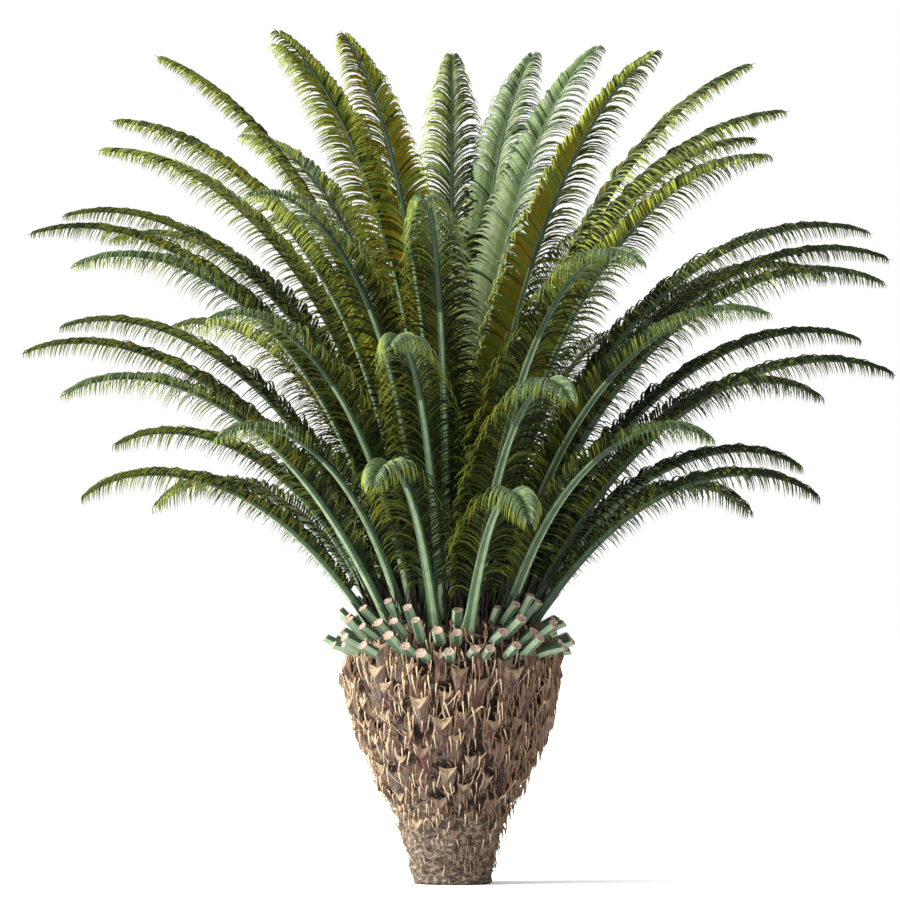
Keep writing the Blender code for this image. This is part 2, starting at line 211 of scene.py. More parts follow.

# Tints of a leaflet's upper face, underside and tip, with painted light: from the shaded side to
# the sunlit one
LEAF_DEALS = {
    "base":
        "deep deep green, deep deep olive, green deep olive, deep green fresh, "
        "olive deep olive, olive green fresh, ochre olive fresh",
    "blade":
        "deep deep green, deep deep green, green deep olive, green olive fresh, "
        "olive green fresh, fresh olive ochre",
    "outer":
        "deep deep green, green green fresh, silver green fresh, green fresh fresh, "
        "silver fresh mint, fresh ochre bright, fresh fresh bright",
    "umbrella": "silver green fresh, silver fresh mint, mint silver fresh, mint fresh bright",
    "sunlit":
        "green deep olive, olive olive fresh, silver fresh fresh, fresh olive fresh, "
        "ochre fresh bright, mint fresh bright, bright ochre bright",
    "pale":
        "silver silver fresh, silver green mint, mint mint mint, pale silver pale, "
        "pale mint pale",
}
# Leaflets of these tiers take the sunlit deal of painted light, and turn less in sprays
SUNLIT_TIERS = ("top", "upper")
PALE_FRONDS = ("frond_top_06", "frond_top_07")
BASE_TO = 0.30
BLADE_TO = 0.60
UMBRELLA_FROM = 0.66
UMBRELLA_TURN = 62.0
# Place of a leaflet in its deal, from 0 to 1: by its aim, place and tier as painted light, and by
# stretch of blade and chance
SUN_MIDDLE = 0.46
SUN_LOST_BY_AIM = 0.20
SUN_LOST_BY_PLACE = 0.16
SUN_GAINED_BY_TIER = 0.22
MOOD_CELLS = 9
MOST_SUN = 0.999

# Hooks of dry fibre: distance out of the trunk, drop and radius at each point from root to tip
HOOK_LOWEST = 0.050
HOOK_HIGHEST = 0.800
HOOK_PITCH = 0.0265
HOOK_OUT = np.array((-0.006, 0.007, 0.014, 0.016, 0.014, 0.010))
HOOK_DROP = np.array((-0.003, -0.006, 0.004, 0.018, 0.036, 0.056))
HOOK_RADIUS = np.array((0.0020, 0.0034, 0.0034, 0.0022, 0.0014, 0.0))
HOOK_HEAD_SEGMENTS = 2
HOOK_FOOT_TOP = 0.20

# Pale strands over the old leaf bases
NET_STRANDS = 300
NET_POINTS = 9

# Fine stray fibres
HAIRS = 2000
HAIR_POINTS = 4

# Dark fibre between the living leaf bases
HEART_STRANDS = 1400
HEART_POINTS = 5
HEART_RADIUS = 0.25
HEART_LEAN_SPREAD = 0.20

# A direction that no strand follows, from which its section is laid out
STRAND_SIDE = np.array((0.31, 0.17, 0.93))

# Mottled materials: places in the pattern with the colour there in screen values, scale and
# stretch of the pattern, roughness, and strength of the bump
EVEN = (1.0, 1.0, 1.0)
UPRIGHT = (1.0, 1.0, 0.35)
MOTTLES = {
    "trunk_sheath": (
        ((0.34, (24, 18, 15)), (0.50, (66, 57, 50)), (0.66, (116, 105, 92))),
        34.0, (1.3, 1.3, 2.6), 0.95, 1.0),
    "trunk_crevice": (((0.35, (9, 6, 6)), (0.70, (31, 23, 20))), 40.0, EVEN, 0.95, 0.8),
    "trunk_inner": (
        ((0.32, (22, 15, 15)), (0.55, (47, 35, 33)), (0.75, (76, 63, 56))),
        60.0, (1.0, 1.0, 0.6), 0.95, 0.9),
    "trunk_fibre_mat": (
        ((0.30, (40, 32, 27)), (0.52, (76, 65, 56)), (0.72, (113, 98, 85))),
        70.0, (1.0, 1.0, 0.45), 0.95, 1.0),
    "scale_cut": (((0.35, (88, 72, 56)), (0.65, (140, 124, 100))), 60.0, EVEN, 0.85, 0.4),
    "scale_brown": (
        ((0.30, (36, 24, 24)), (0.50, (66, 48, 45)), (0.75, (111, 91, 78))),
        80.0, UPRIGHT, 0.9, 1.0),
    "scale_grey": (((0.30, (51, 42, 39)), (0.70, (107, 95, 84))), 80.0, UPRIGHT, 0.9, 1.0),
    "scale_red": (((0.30, (42, 24, 23)), (0.70, (89, 62, 53))), 80.0, UPRIGHT, 0.9, 1.0),
    "scale_edge": (
        ((0.30, (66, 52, 42)), (0.70, (112, 96, 77))), 70.0, (1.0, 1.0, 0.4), 0.9, 0.6),
    "stalk_green": (((0.30, (46, 66, 52)), (0.70, (72, 94, 76))), 40.0, EVEN, 0.5, 0.2),
    "stalk_pale": (((0.30, (96, 118, 94)), (0.70, (140, 156, 128))), 40.0, EVEN, 0.5, 0.2),
    "stalk_cut": (
        ((0.30, (98, 78, 70)), (0.50, (140, 124, 112)), (0.70, (166, 150, 134))),
        160.0, EVEN, 0.9, 0.9),
    # rib_shade is a darker copy of rib_green, for painted shade
    "rib_shade": (((0.30, (24, 38, 27)), (0.70, (38, 56, 38))), 30.0, EVEN, 0.5, 0.2),
    "rib_green": (((0.30, (36, 54, 38)), (0.70, (54, 76, 53))), 30.0, EVEN, 0.5, 0.2),
    "rib_pale": (((0.30, (82, 104, 76)), (0.70, (116, 136, 104))), 30.0, EVEN, 0.5, 0.2),
}
# Colour and roughness of each plain fibre
FIBRES = {
    "fibre_cream": ((164, 146, 122), 0.80),
    "fibre_buff": ((108, 86, 70), 0.85),
    "fibre_head": ((102, 74, 46), 0.85),
    "fibre_umber": ((30, 22, 16), 0.90),
    "heart_leaf": ((18, 26, 10), 0.70),
}
LEAF_GRAIN = 900.0
FIBRE_GRAIN = 500.0

# Materials of each kind of piece, and the numbers of some of them there
BODY_LOOKS = ("trunk_sheath", "trunk_crevice", "trunk_inner", "trunk_fibre_mat")
SHEATH, CREVICE_SHADE, INNER, MAT = range(4)
SCALE_LOOKS = ("scale_cut", "scale_brown", "scale_grey", "scale_red", "scale_edge")
CUT, BROWN, GREY, RED, EDGE = range(5)
STALK_LOOKS = ("stalk_green", "stalk_pale", "stalk_cut")
STALK_CUT = 2
RIB_LOOKS = ("rib_shade", "rib_green", "rib_pale")
HOOK_LOOKS = ("fibre_cream", "fibre_buff", "fibre_head")
FIBRE_LOOKS = HOOK_LOOKS[:2]
CREAM, BUFF, HEAD = range(3)
HEART_LOOKS = ("fibre_umber", "heart_leaf")

# Stage
KEY_FROM = (-1.0, -0.24, 0.56)
CAMERA_PLACE = (-0.006, -24.0, 1.30)
CAMERA_LENS = 320.0


# Shapes from arrays

def unit(vectors):
    """Vectors scaled to length one."""
    return vectors / np.linalg.norm(vectors, axis=-1, keepdims=True)


def across_part(vectors, way):
    """The part of vectors that is square to a direction, scaled to length one."""
    return unit(vectors - way * (vectors * way).sum(-1, keepdims=True))


def mesh_piece(name, points, face_sets, materials, smooth=False):
    """A piece from points and sets of faces, each an array of corners with material numbers."""
    mesh = bpy.data.meshes.new(name)
    corners = np.concatenate([faces.ravel() for faces, _ in face_sets]).astype(np.int32)
    sizes = np.concatenate([np.full(faces[..., 0].size, faces.shape[-1]) for faces, _ in face_sets])
    numbers = np.concatenate([np.broadcast_to(number, faces.shape[:-1]).ravel()
                              for faces, number in face_sets])
    starts = np.concatenate([[0], np.cumsum(sizes)[:-1]]).astype(np.int32)
    mesh.vertices.add(len(points))
    mesh.vertices.foreach_set("co", np.ascontiguousarray(points, np.float32).ravel())
    mesh.loops.add(len(corners))
    mesh.loops.foreach_set("vertex_index", corners)
    mesh.polygons.add(len(sizes))
    mesh.polygons.foreach_set("loop_start", starts)
    mesh.polygons.foreach_set("material_index", numbers.astype(np.int32))
    mesh.polygons.foreach_set("use_smooth", smooth & (sizes == 4))
    mesh.update(calc_edges=True)
    for material in materials:
        mesh.materials.append(material)
    piece = bpy.data.objects.new(name, mesh)
    bpy.context.scene.collection.objects.link(piece)
    return piece


def sweep(centres, normals, section, widths):
    """Rings of corners round paths: a section laid square to each path, above it along normals."""
    way = unit(np.gradient(centres, axis=1))
    above = across_part(np.broadcast_to(normals, centres.shape), way)
    wide = np.cross(above, way)
    sideways = section[:, 0] * widths[..., None]
    upward = section[:, 1] * widths[..., None]
    return (centres[:, :, None]
            + wide[:, :, None] * sideways[..., None]
            + above[:, :, None] * upward[..., None])


def ring_quads(units, rings, sides, size):
    """Corner numbers of the quads round each unit's rings, as units x segments x sides x 4."""
    start = np.arange(units)[:, None, None] * size
    ring = np.arange(rings - 1)[None, :, None] * sides
    corner = np.arange(sides)[None, None, :]
    after = (corner + 1) % sides
    base = start + ring
    return np.stack(np.broadcast_arrays(
        base + corner, base + after, base + after + sides, base + corner + sides), axis=-1)


def pointed_units(rings, tips):
    """Points and faces of closed bars that run from a flat base to a point."""
    units, count, sides, _ = rings.shape
    size = count * sides + 1
    points = np.concatenate([rings.reshape(units, count * sides, 3), tips[:, None]], axis=1)
    quads = ring_quads(units, count, sides, size)
    start = np.arange(units)[:, None] * size
    last = start + (count - 1) * sides
    corner = np.arange(sides)[None, :]
    ends = np.stack(np.broadcast_arrays(
        last + corner, last + (corner + 1) % sides, start + size - 1), axis=-1)
    bases = start + corner[:, ::-1]
    return points.reshape(-1, 3), quads, ends, bases


def blunt_units(rings):
    """Points and faces of closed bars with a flat face at both ends."""
    units, count, sides, _ = rings.shape
    size = count * sides
    quads = ring_quads(units, count, sides, size)
    start = np.arange(units)[:, None] * size
    corner = np.arange(sides)[None, :]
    bases = start + corner[:, ::-1]
    ends = start + (count - 1) * sides + corner
    return rings.reshape(-1, 3), quads, ends, bases


def round_section(sides, ridge=0.0):
    """Corners of a round section of radius one, with every second one drawn in."""
    angle = np.arange(sides) * 2.0 * math.pi / sides
    radius = 1.0 - ridge * (np.arange(sides) % 2)
    return np.stack([np.cos(angle) * radius, np.sin(angle) * radius], axis=-1)


def stripes(sides):
    """Numbers 0 and 1 in turn for every two sides of a section."""
    return np.arange(sides) % 4 // 2


def eased(share):
    """A share from 0 to 1 that starts and stops gently."""
    return share * share * (3.0 - 2.0 * share)


def cell_noise(u, v, cells, rng):
    """Smooth random values from -1 to 1; u is periodic, and both run from 0 to 1."""
    columns, rows = cells
    values = rng.uniform(-1.0, 1.0, (columns, rows + 2))
    x = u * columns
    y = np.clip(v, 0.0, 1.0) * rows
    column = np.floor(x).astype(int)
    row = np.floor(y).astype(int)
    across = eased(x - column)
    upward = eased(y - row)
    left = column % columns
    right = (column + 1) % columns
    low = values[left, row] * (1.0 - across) + values[right, row] * across
    high = values[left, row + 1] * (1.0 - across) + values[right, row + 1] * across
    return low * (1.0 - upward) + high * upward


def jitter(rng, most, *shape):
    """Random values of either sign, up to the most."""
    return rng.uniform(-most, most, shape)


# Materials

def linear(colour):
    """A colour given in screen values from 0 to 255, as the shader wants it."""
    parts = [value / 255.0 for value in colour]
    return tuple(part / 12.92 if part <= 0.04045 else ((part + 0.055) / 1.055) ** 2.4
                 for part in parts) + (1.0,)


def add_bump(material, scale, strength, depth):
    """Join a noise of an object's own space to a material as a bump; the noise and its mapping."""
    nodes = material.node_tree.nodes
    links = material.node_tree.links
    place = nodes.new("ShaderNodeTexCoord")
    mapping = nodes.new("ShaderNodeMapping")
    noise = nodes.new("ShaderNodeTexNoise")
    noise.inputs["Scale"].default_value = scale
    relief = nodes.new("ShaderNodeBump")
    relief.inputs["Strength"].default_value = strength
    relief.inputs["Distance"].default_value = depth
    links.new(place.outputs["Object"], mapping.inputs["Vector"])
    links.new(mapping.outputs["Vector"], noise.inputs["Vector"])
    links.new(noise.outputs["Fac"], relief.inputs["Height"])
    links.new(relief.outputs["Normal"], nodes["Principled BSDF"].inputs["Normal"])
    return noise, mapping


def plain_material(name, colour, roughness, gloss=0.2, grain=0.0):
    """A material of one plain colour, with a fine bump of the given grain."""
    material = bpy.data.materials.new(name)
    material.use_nodes = True
    shader = material.node_tree.nodes["Principled BSDF"]
    shader.inputs["Base Color"].default_value = colour
    shader.inputs["Roughness"].default_value = roughness
    shader.inputs["Specular IOR Level"].default_value = gloss
    if grain > 0.0:
        add_bump(material, grain, strength=0.25, depth=0.001)
    return material


def mottled_material(name, tones, scale, stretch, roughness, bump):
    """A material that wanders between several tones, with a bump from the same pattern."""
    tones = [(position, linear(colour)) for position, colour in tones]
    material = plain_material(name, tones[0][1], roughness)
    noise, mapping = add_bump(material, scale, bump, depth=0.003)
    mapping.inputs["Scale"].default_value = stretch
    noise.inputs["Detail"].default_value = 6.0
    noise.inputs["Roughness"].default_value = 0.65
    ramp = material.node_tree.nodes.new("ShaderNodeValToRGB")
    elements = ramp.color_ramp.elements
    elements[0].position, elements[0].color = tones[0]
    elements[1].position, elements[1].color = tones[-1]
    for position, colour in tones[1:-1]:
        elements.new(position).color = colour
    shader = material.node_tree.nodes["Principled BSDF"]
    material.node_tree.links.new(noise.outputs["Fac"], ramp.inputs["Fac"])
    material.node_tree.links.new(ramp.outputs["Color"], shader.inputs["Base Color"])
    return material


def make_looks():
    """Every material of the palm but the leaves', by name."""
    looks = {name: mottled_material(name, *values) for name, values in MOTTLES.items()}
    for name, (colour, roughness) in FIBRES.items():
        looks[name] = plain_material(name, linear(colour), roughness, grain=FIBRE_GRAIN)
    return looks


def picked(looks, names):
    """The materials of some names."""
    return [looks[name] for name in names]


def leaf_materials():
    """One plain waxy material for each leaf tint."""
    return [plain_material(f"leaf_{name}", linear(colour), roughness, gloss, LEAF_GRAIN)
            for name, (colour, roughness, gloss, _) in TINTS.items()]


# Fronds

def list_fronds(tier):
    """Every frond of a tier."""
    fronds = []
    for number, (azimuth, lift) in enumerate(tier.fronds, 1):
        fronds.append(Frond(
            f"frond_{tier.name}_{number:02d}", azimuth,
            tier.foot_radius - lift * FOOT_INWARD_PER_LIFT,
            tier.foot_height + lift * FOOT_UPWARD_PER_LIFT,
            tier.rise + lift, tier.bend, tier.length, tier.width))
    return fronds


def tier_of(frond):
    """Name of a frond's tier."""
    return frond.name.split("_")[1]


def turned(points, azimuth):
    """Points of a frond's own upright plane, turned to an azimuth."""
    angle = math.radians(azimuth - 90.0)
    cosine = math.cos(angle)
    sine = math.sin(angle)
    x = points[..., 0] * cosine - points[..., 1] * sine
    y = points[..., 0] * sine + points[..., 1] * cosine
    return np.stack([x, y, points[..., 2]], axis=-1)


def rib_slope(frond, share):
    """Slope of a rib in radians at shares of its length."""
    fallen = frond.bend * share ** RIB_BEND_POWER + RIB_TIP_DROOP * share ** RIB_DROOP_POWER
    return np.radians(frond.rise - fallen)


def rib_centres(frond, shares):
    """Places along a rib, in its own upright plane."""
    fine = np.linspace(0.0, 1.0 + RIB_TIP_SHARE, RIB_FINE_PLACES)
    middle = rib_slope(frond, (fine[1:] + fine[:-1]) / 2.0)
    step = (fine[1] - fine[0]) * frond.length
    out = frond.foot_radius + np.concatenate([[0.0], np.cumsum(np.cos(middle) * step)])
    height = frond.foot_height + np.concatenate([[0.0], np.cumsum(np.sin(middle) * step)])
    places = [np.interp(shares, fine, out), np.zeros(len(shares)), np.interp(shares, fine, height)]
    return np.stack(places, axis=-1)


def rib_width(frond, share):
    """Width of a rib at shares of its length."""
    taper = np.minimum(1.0, share) ** RIB_TAPER_POWER
    return frond.width + (RIB_TIP_WIDTH - frond.width) * taper


def rib_axes(frond, share):
    """Forward and upward directions of a rib, in its own upright plane."""
    slope = rib_slope(frond, share)
    none = np.zeros(len(slope))
    forward = np.stack([np.cos(slope), none, np.sin(slope)], axis=-1)
    above = np.stack([-np.sin(slope), none, np.cos(slope)], axis=-1)
    return forward, above


def rib_section():
    """Section of a rib of width one: crowned above, deeper below, finely ridged."""
    section = round_section(RIB_SIDES, RIB_RIDGE)
    section[:, 0] *= 0.5
    section[:, 1] *= np.where(section[:, 1] > 0.0, RIB_CROWN, RIB_KEEL)
    return section


def rib_stripes(fronds, shares):
    """Tone numbers round each rib: pale stripes, one step darker as painted shade on the right side
    and towards the tip.
    """
    azimuths = np.radians([frond.azimuth for frond in fronds])
    shaded = np.sin(azimuths) > RIB_SHADED_FROM
    outer = shares > RIB_TIP_SHADE_FROM
    tone = stripes(RIB_SIDES) + 1 - shaded[:, None, None] - outer[None, :, None]
    return np.maximum(tone, 0)


def make_ribs(tier, fronds, materials):
    """The tier's ribs as one piece of tapered, ridged bars."""
    shares = np.linspace(0.0, 1.0 + RIB_TIP_SHARE, RIB_RINGS + 1)
    centres = []
    normals = []
    widths = []
    for frond in fronds:
        forward, above = rib_axes(frond, shares)
        middle = rib_centres(frond, shares)
        middle = np.concatenate([middle[:1] - forward[:1] * RIB_ROOTED, middle])
        above = np.concatenate([above[:1], above])
        centres.append(turned(middle, frond.azimuth))
        normals.append(turned(above, frond.azimuth))
        widths.append(rib_width(frond, np.concatenate([shares[:1], shares])))
    centres = np.array(centres)
    rings = sweep(centres, np.array(normals), rib_section(), np.array(widths))
    points, quads, ends, bases = pointed_units(rings[:, :-1], centres[:, -1])
    piece = mesh_piece(
        f"ribs_{tier.name}", points,
        [(quads, rib_stripes(fronds, shares[:-1])), (ends, 0), (bases, 0)],
        materials, smooth=True)
    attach(piece, "root")
    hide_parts(*(frond.name for frond in fronds))


# Leaflets

def leaflet_reach(along):
    """Length of leaflets at shares of the blade, and their angle from the rib."""
    grown = np.minimum(1.0, along / LEAF_GROWN_AT)
    grown = grown * (2.0 - grown)
    length = LEAF_FIRST + (1.0 - LEAF_FIRST) * grown
    length *= 1.0 - (1.0 - LEAF_LAST) * along ** LEAF_FADE_POWER
    spread = LEAF_SPREAD_FIRST + (LEAF_SPREAD_LAST - LEAF_SPREAD_FIRST) * along
    return LEAF_LENGTH * length, np.radians(spread)


def leaflet_paths(roots, ways, lengths, loads, share):
    """Points along leaflets that leave their roots and arch over under their load."""
    way = ways.copy()
    places = [roots]
    pull = loads * share / LEAF_STEPS
    for _ in range(LEAF_STEPS):
        places.append(places[-1] + way * (lengths * share / LEAF_STEPS)[:, None])
        way = unit(way + pull - way * (way * pull).sum(-1, keepdims=True))
    return np.stack(places, axis=1)


def clear_of_others(paths, others, reach):
    """Whether each path keeps its distance from a cloud of places with their own reach."""
    flat = paths[:, 1:].reshape(-1, 3)
    gap = (flat ** 2).sum(1)[:, None] + (others ** 2).sum(1)[None, :] - 2.0 * flat @ others.T
    hit = (gap < reach[None, :] ** 2).any(axis=1)
    return ~hit.reshape(len(paths), LEAF_STEPS).any(axis=1)


def fitted_paths(roots, ways, lengths, loads, others, reach):
    """Paths of leaflets, shortened where they would touch another rib, and which stay clear."""
    paths = leaflet_paths(roots, ways, lengths, loads, 1.0)
    waiting = ~clear_of_others(paths, others, reach)
    for share in LEAF_SHORTER_SHARES:
        rows = np.nonzero(waiting)[0]
        shorter = leaflet_paths(roots[rows], ways[rows], lengths[rows], loads[rows], share)
        good = clear_of_others(shorter, others, reach)
        paths[rows[good]] = shorter[good]
        waiting[rows[good]] = False
    return paths, ~waiting


def leaflet_rows(frond, rng):
    """Share of the blade, side and spray of each leaflet, first those on the left side."""
    count = int(frond.length * (1.0 - PETIOLE_SHARE) / LEAF_PITCHES[tier_of(frond)])
    steps = np.arange(count)
    along = np.concatenate([(steps + offset) / count for offset in (0.3, 0.7)])
    side = np.repeat([-1.0, 1.0], count)
    spray = np.arange(2 * count) / 2.0
    spray = spray + jitter(rng, 0.2, 2 * count)
    return along, side, spray.clip(0.0).astype(int)


def leaflet_starts(frond, along, side, spray, rng):
    """Root, direction, load, length and forward direction of the rib for each leaflet."""
    loose = 1.0 - SPRAY_CALMED * along
    if tier_of(frond) in SUNLIT_TIERS:
        loose = loose * SUNLIT_LOOSENESS
    share = PETIOLE_SHARE + (1.0 - PETIOLE_SHARE) * along
    forward, above = rib_axes(frond, share)
    length, spread = leaflet_reach(along)
    count = len(along)
    sprays = spray.max() + 1
    length = length * rng.uniform(0.86, 1.05, count)
    spray_spread = jitter(rng, 5.0, sprays)[spray] * loose
    spray_rise = jitter(rng, 8.0, sprays)[spray] * loose
    own_spread = jitter(rng, 3.0, count)
    own_rise = jitter(rng, 5.0, count)
    spread = spread + np.radians(spray_spread + own_spread)
    rise = np.radians(LEAF_RISE + spray_rise + own_rise)
    outward = LATERAL * (side * np.cos(rise))[:, None] + above * np.sin(rise)[:, None]
    way = forward * np.cos(spread)[:, None] + outward * np.sin(spread)[:, None]
    width = rib_width(frond, share)
    root = (rib_centres(frond, share)
            + LATERAL * (side * width * ROOT_OUT)[:, None] + above * (width * ROOT_UP)[:, None])
    load = DOWN * LEAF_SAG - above * LEAF_CURL
    root, way, load, forward = (turned(part, frond.azimuth) for part in (root, way, load, forward))
    return root, way, load, length, forward


def blade_normals(paths, forward, side, rng):
    """Normals of leaflets' blades, turned some way from the rib's upper side towards its tip."""
    along_path = unit(np.gradient(paths, axis=1))
    blade = across_part(forward[:, None], along_path)
    normal = np.cross(blade, along_path) * side[:, None, None]
    twist = np.radians(rng.uniform(*LEAF_TWISTS, len(side)))[:, None, None]
    return normal * np.cos(twist) + blade * np.sin(twist)


def deal_of(frond, share):
    """Which deal of tints the leaflets at a share of a frond's blade take."""
    if frond.name in PALE_FRONDS:
        return "pale"
    if tier_of(frond) in SUNLIT_TIERS:
        return "sunlit"
    if share < BASE_TO:
        return "base"
    if share < BLADE_TO:
        return "blade"
    if share > UMBRELLA_FROM and abs(frond.azimuth) < UMBRELLA_TURN:
        return "umbrella"
    return "outer"


def leaflet_tints(frond, along, side, paths, rng):
    """Tint numbers of each leaflet's two halves, underside and tip, dealt out by painted light,
    stretch of blade and chance.
    """
    aim = unit(paths[:, LEAF_STEPS // 2] - paths[:, 0])
    # Painted light: leaflets aimed or placed towards the left, and those of the sunlit tiers, take
    # brighter tints
    sunny = SUN_MIDDLE - SUN_LOST_BY_AIM * aim[:, 0] - SUN_LOST_BY_PLACE * paths[:, 0, 0]
    if tier_of(frond) in SUNLIT_TIERS:
        sunny += SUN_GAINED_BY_TIER
    cells = jitter(rng, 0.26, 2, MOOD_CELLS + 1)
    left, right = (np.interp(along * MOOD_CELLS, np.arange(MOOD_CELLS + 1), row) for row in cells)
    painted_light_and_tone = sunny + np.where(side < 0.0, left, right) + rng.normal(0.0, 0.26, len(along))
    tints = []
    for share, to_side, value in zip(along, side, painted_light_and_tone.clip(0.0, MOST_SUN)):
        deal = LEAF_DEALS[deal_of(frond, share)].split(", ")
        upper, under, tip = deal[int(value * len(deal))].split()
        # Painted shade: one half of the fold takes the tint's darker partner, mirrored on the right
        # side
        halves = [upper, TINTS[upper].shaded]
        if to_side > 0.0:
            halves.reverse()
        tints.append([TINT_NAMES.index(name) for name in (*halves, under, tip)])
    return np.array(tints)


def frond_leaflets(frond, others, reach, rng):
    """Paths, blade normals, widths and tints of one frond's leaflets."""
    along, side, spray = leaflet_rows(frond, rng)
    root, way, load, length, forward = leaflet_starts(frond, along, side, spray, rng)
    paths, kept = fitted_paths(root, way, length, load, others, reach)
    normals = blade_normals(paths, forward, side, rng)
    fullness = np.interp(along, (0.0, 1.0), LEAF_FULLNESS[tier_of(frond)])
    widths = LEAF_WIDTH * fullness[:, None] * LEAF_WIDTHS
    tints = leaflet_tints(frond, along, side, paths, rng)
    return paths[kept], normals[kept], widths[kept], tints[kept]


def make_leaflets(tier, fronds, cloud, materials, rng):
    """The tier's leaflets as one piece of folded, pointed blades."""
    parts = []
    for frond in fronds:
        other_ribs = [rib for name, rib in cloud.items() if name != frond.name]
        others, reach = (np.concatenate(part) for part in zip(*other_ribs))
        parts.append(frond_leaflets(frond, others, reach, rng))
    paths, normals, widths, tints = (np.concatenate(part) for part in zip(*parts))
    section = np.array(((0.5, -LEAF_FOLD), (0.0, 0.0), (-0.5, -LEAF_FOLD)))
    rings = sweep(paths, normals, section, np.pad(widths, ((0, 0), (0, 1))))[:, :-1]
    above = across_part(normals, unit(np.gradient(paths, axis=1)))[:, :-1]
    rings[:, :, 1] += above * LEAF_THICKNESS
    points, quads, ends, bases = pointed_units(rings, paths[:, -1])
    under = tints[:, 2]
    tip = tints[:, 3:]
    quad_tints = np.repeat(tints[:, None, :3], LEAF_STEPS - 1, axis=1)
    quad_tints[:, -1] = tip
    piece = mesh_piece(
        f"leaflets_{tier.name}", points, [(quads, quad_tints), (ends, tip), (bases, under)],
        materials)
    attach(piece, "root")
    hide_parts(*(frond.name for frond in fronds))


def rib_cloud(tiers):
    """Places along every rib with the distance that leaflets keep from them."""
    cloud = {}
    shares = np.linspace(0.0, 1.0, CLOUD_PLACES)
    for fronds in tiers.values():
        for frond in fronds:
            places = turned(rib_centres(frond, shares), frond.azimuth)
            cloud[frond.name] = (places, rib_width(frond, shares) / 2.0 + LEAF_CLEARANCE)
    return cloud


# Trunk

def trunk_radius(height):
    """Radius of the trunk's body at heights."""
    radii, heights = np.array(TRUNK_OUTLINE[::-1]).T
    return np.interp(height, heights, radii)


def trunk_lean(height):
    """Angle in radians of the trunk's side from the vertical at heights, outward going up."""
    widening = trunk_radius(height + LEAN_REACH) - trunk_radius(height - LEAN_REACH)
    return np.arctan2(widening, 2.0 * LEAN_REACH)


def trunk_axes(azimuth, height):
    """Outward, sideways and upward directions on the trunk's side."""
    angle = np.radians(azimuth - 90.0)
    lean = trunk_lean(height)
    out = np.stack([np.cos(angle) * np.cos(lean), np.sin(angle) * np.cos(lean), -np.sin(lean)], -1)
    sideways = np.stack([-np.sin(angle), np.cos(angle), np.zeros_like(angle)], -1)
    up = np.stack([np.cos(angle) * np.sin(lean), np.sin(angle) * np.sin(lean), np.cos(lean)], -1)
    return out, sideways, up


def round_place(azimuth, radius, height):
    """Place at an azimuth, a distance from the trunk's middle and a height."""
    angle = np.radians(azimuth - 90.0)
    return np.stack([radius * np.cos(angle), radius * np.sin(angle), height], -1)


def trunk_place(azimuth, height):
    """Place on the trunk's side."""
    return round_place(azimuth, trunk_radius(height), height)


def spiral_places(lowest, highest, pitch):
    """Azimuths and heights of places that each have the same share of the trunk's surface."""
    places = []
    height = lowest
    azimuth = 0.0
    while height < highest:
        places.append((azimuth % 360.0, height))
        height += pitch ** 2 / (2.0 * math.pi * float(trunk_radius(height)))
        azimuth += GOLDEN_ANGLE
    return np.array(places).T


def scale_places():
    """Azimuth and height of each old leaf base."""
    return spiral_places(SCALE_LOWEST, SCALE_HIGHEST, SCALE_PITCH)


def lit_side_share(azimuth):
    """Share from 0 to 1 of painted light round the trunk: most on its left side, where the light
    comes from.
    """
    return 0.5 - 0.5 * np.sin(np.radians(azimuth))


def body_relief(turn, height, rng):
    """Height of the body's relief over its smooth outline, in metres."""
    share = height / BODY_HIGHEST
    sheath = np.clip((SHEATH_TOP - height) / SHEATH_FADE, 0.0, 1.0)
    lumps = cell_noise(turn, share, LUMP_CELLS, rng) * LUMP_RELIEF
    grain = cell_noise(turn, share, GRAIN_CELLS, rng) * GRAIN_RELIEF
    wrinkles = cell_noise(turn + height * 0.4, share, FOLD_CELLS, rng)
    folds = (1.0 - np.abs(wrinkles)) ** 4 * FOLD_RELIEF
    relief = (lumps + grain) * (1.0 - 0.65 * sheath) + folds * sheath
    for azimuth, place in zip(*scale_places()):
        apart = (turn * 360.0 - azimuth + 180.0) % 360.0 - 180.0
        sideways = np.radians(apart) * trunk_radius(height) / MOUND_WIDTH
        upward = (height - place + MOUND_DROP) / MOUND_HEIGHT
        relief += MOUND_RELIEF * np.exp(-sideways ** 2 - upward ** 2)
    return relief - 0.006 * (1.0 - sheath)


def body_numbers(turn, height, relief, rng):
    """Material number of each quad of the body, from its upper ring of corners, with painted shade.
    """
    zone = cell_noise(turn, height / BODY_HIGHEST, ZONE_CELLS, rng) * ZONE_RELIEF
    # Painted shade: more of the darker looks on the right side, away from the light
    shade = (0.85 - lit_side_share(turn * 360.0)) * 0.007
    level = relief + zone - shade
    number = np.where(level < CREVICE_BELOW, CREVICE_SHADE, np.where(level < INNER_BELOW, INNER, MAT))
    sheathed = (height < SHEATH_LOOK_TOP + zone * 24.0) & (relief > INNER_BELOW)
    number = np.where(sheathed, SHEATH, number)
    return np.where(height > SHOULDER_SHADE_FROM + zone * 8.0, CREVICE_SHADE, number)


